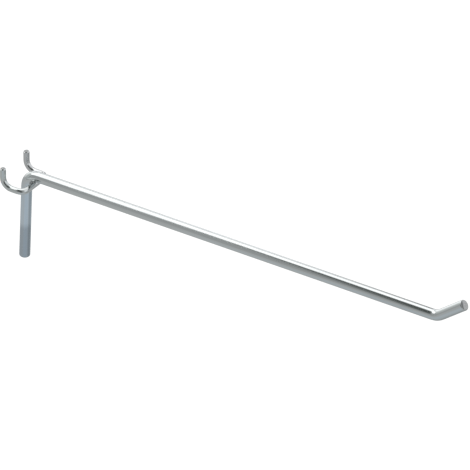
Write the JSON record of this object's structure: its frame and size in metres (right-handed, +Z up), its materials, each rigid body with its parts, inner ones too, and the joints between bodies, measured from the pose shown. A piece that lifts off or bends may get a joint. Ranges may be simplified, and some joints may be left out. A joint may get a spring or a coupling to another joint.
{
  "type": "pegboard hook",
  "caption": "Long straight display hook of bright plated steel wire: a leg that rests on the board, an upturned tip, and a welded cross wire whose ends turn up behind the board.",
  "frame": {"origin": "on the board's front face, midway between the prongs, level with the middle of the wire that passes through the holes", "axes": "+Z up; -Y out from the board along the arm; +Y through the board; +X along the board, across the prongs"},
  "size_m": [0.0292, 0.3121, 0.0722],
  "materials": {
    "bright_plating": "bright plated steel wire, faint drawing lines along the wire",
    "plated_weld": "plated weld metal, slightly rough"
  },
  "bodies": {
    "root": {"arm_wire": "bright_plating", "prong_wire": "bright_plating", "weld_bead": "plated_weld"}
  },
  "joints": []
}
